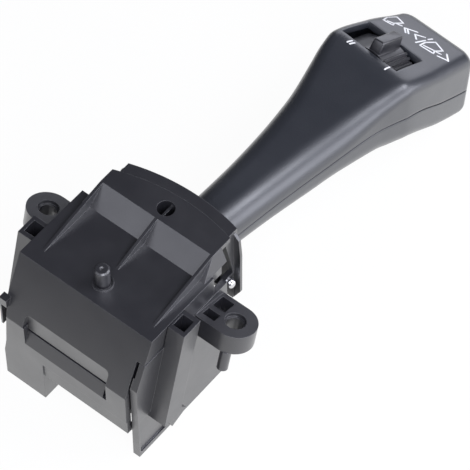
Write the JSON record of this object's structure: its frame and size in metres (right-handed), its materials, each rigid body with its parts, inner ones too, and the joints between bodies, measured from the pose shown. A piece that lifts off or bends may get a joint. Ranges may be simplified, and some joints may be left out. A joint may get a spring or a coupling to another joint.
{
  "type": "combination stalk switch",
  "caption": "Steering column wiper stalk switch: boxed switch module with screw ears, connector socket and a grained stalk with an interval wheel.",
  "frame": {"origin": "centre of the locating peg's base on the top cover", "axes": "+Z along the locating peg, +X along the housing towards the stalk, +Y to the left ear"},
  "size_m": [0.2015, 0.1007, 0.0747],
  "materials": {
    "moulded_black": "fine matt",
    "grained_black": "fine grained",
    "wheel_black": "satin",
    "grey_nylon": "smooth",
    "white_acetal": "smooth",
    "board": "solder mask",
    "tin_plated_brass": "tin plated",
    "contact_metal": "rolled",
    "bright_steel": "polished",
    "spring_steel": "drawn",
    "dark_screw": "blackened"
  },
  "bodies": {
    "module": {"upper_cover": "moulded_black", "lower_housing": "moulded_black", "connector_shroud": "moulded_black", "terminal_pins": "tin_plated_brass", "circuit_board": "board", "front_frame": "moulded_black", "frame_pins": "bright_steel", "rotor_axle": "bright_steel", "detent_track": "white_acetal"},
    "swivel": {"rotor": "grey_nylon", "dust_shield": "moulded_black", "pull_pin": "bright_steel", "detent_spring": "spring_steel", "wash_spring": "spring_steel"},
    "lever": {"lever_core": "grey_nylon", "stalk_upper_shell": "grained_black", "stalk_lower_shell": "grained_black", "stalk_screw": "dark_screw", "wheel_axle": "bright_steel"},
    "wheel": {"interval_wheel": "wheel_black"},
    "slider": {"contact_slider": "grey_nylon", "contact_brushes": "contact_metal"},
    "detent": {"detent_plunger": "white_acetal"},
    "wash": {"wash_plunger": "white_acetal"}
  },
  "joints": [
    {"name": "wipe_swing", "type": "hinge", "parent": "module", "child": "swivel", "pos_m": [0, 0, -0.0203], "axis": [0, 0, 1], "range_deg": [-6, 16]},
    {"name": "wash_pull", "type": "hinge", "parent": "swivel", "child": "lever", "pos_m": [0.03384, -0.00332, -0.0203], "axis": [-0.0976, -0.9952, 0], "range_deg": [0, 5], "stiffness_Nm_per_rad": 3, "springref_deg": -1.72},
    {"name": "interval_turn", "type": "hinge", "parent": "lever", "child": "wheel", "pos_m": [0.14314, -0.01122, -0.01743], "axis": [0.8899, -0.0873, -0.4478], "range_deg": [-20, 20]},
    {"name": "slider_travel", "type": "slide", "parent": "module", "child": "slider", "axis": [0, 1, 0], "range_m": [-0.0018, 0.0048]},
    {"name": "detent_press", "type": "slide", "parent": "swivel", "child": "detent", "axis": [0.9952, -0.0976, 0], "range_m": [0, 0.0012], "stiffness_N_per_m": 800, "springref_m": -0.001},
    {"name": "wash_press", "type": "slide", "parent": "swivel", "child": "wash", "axis": [0, 0, -1], "range_m": [0, 0.0008], "deforming": ["wash_spring"]}
  ],
  "couplings": [
    {"joint": "slider_travel", "follows": "wipe_swing", "m_per_rad": 0.016919},
    {"joint": "wash_press", "follows": "wash_pull", "m_per_rad": 0.009}
  ]
}
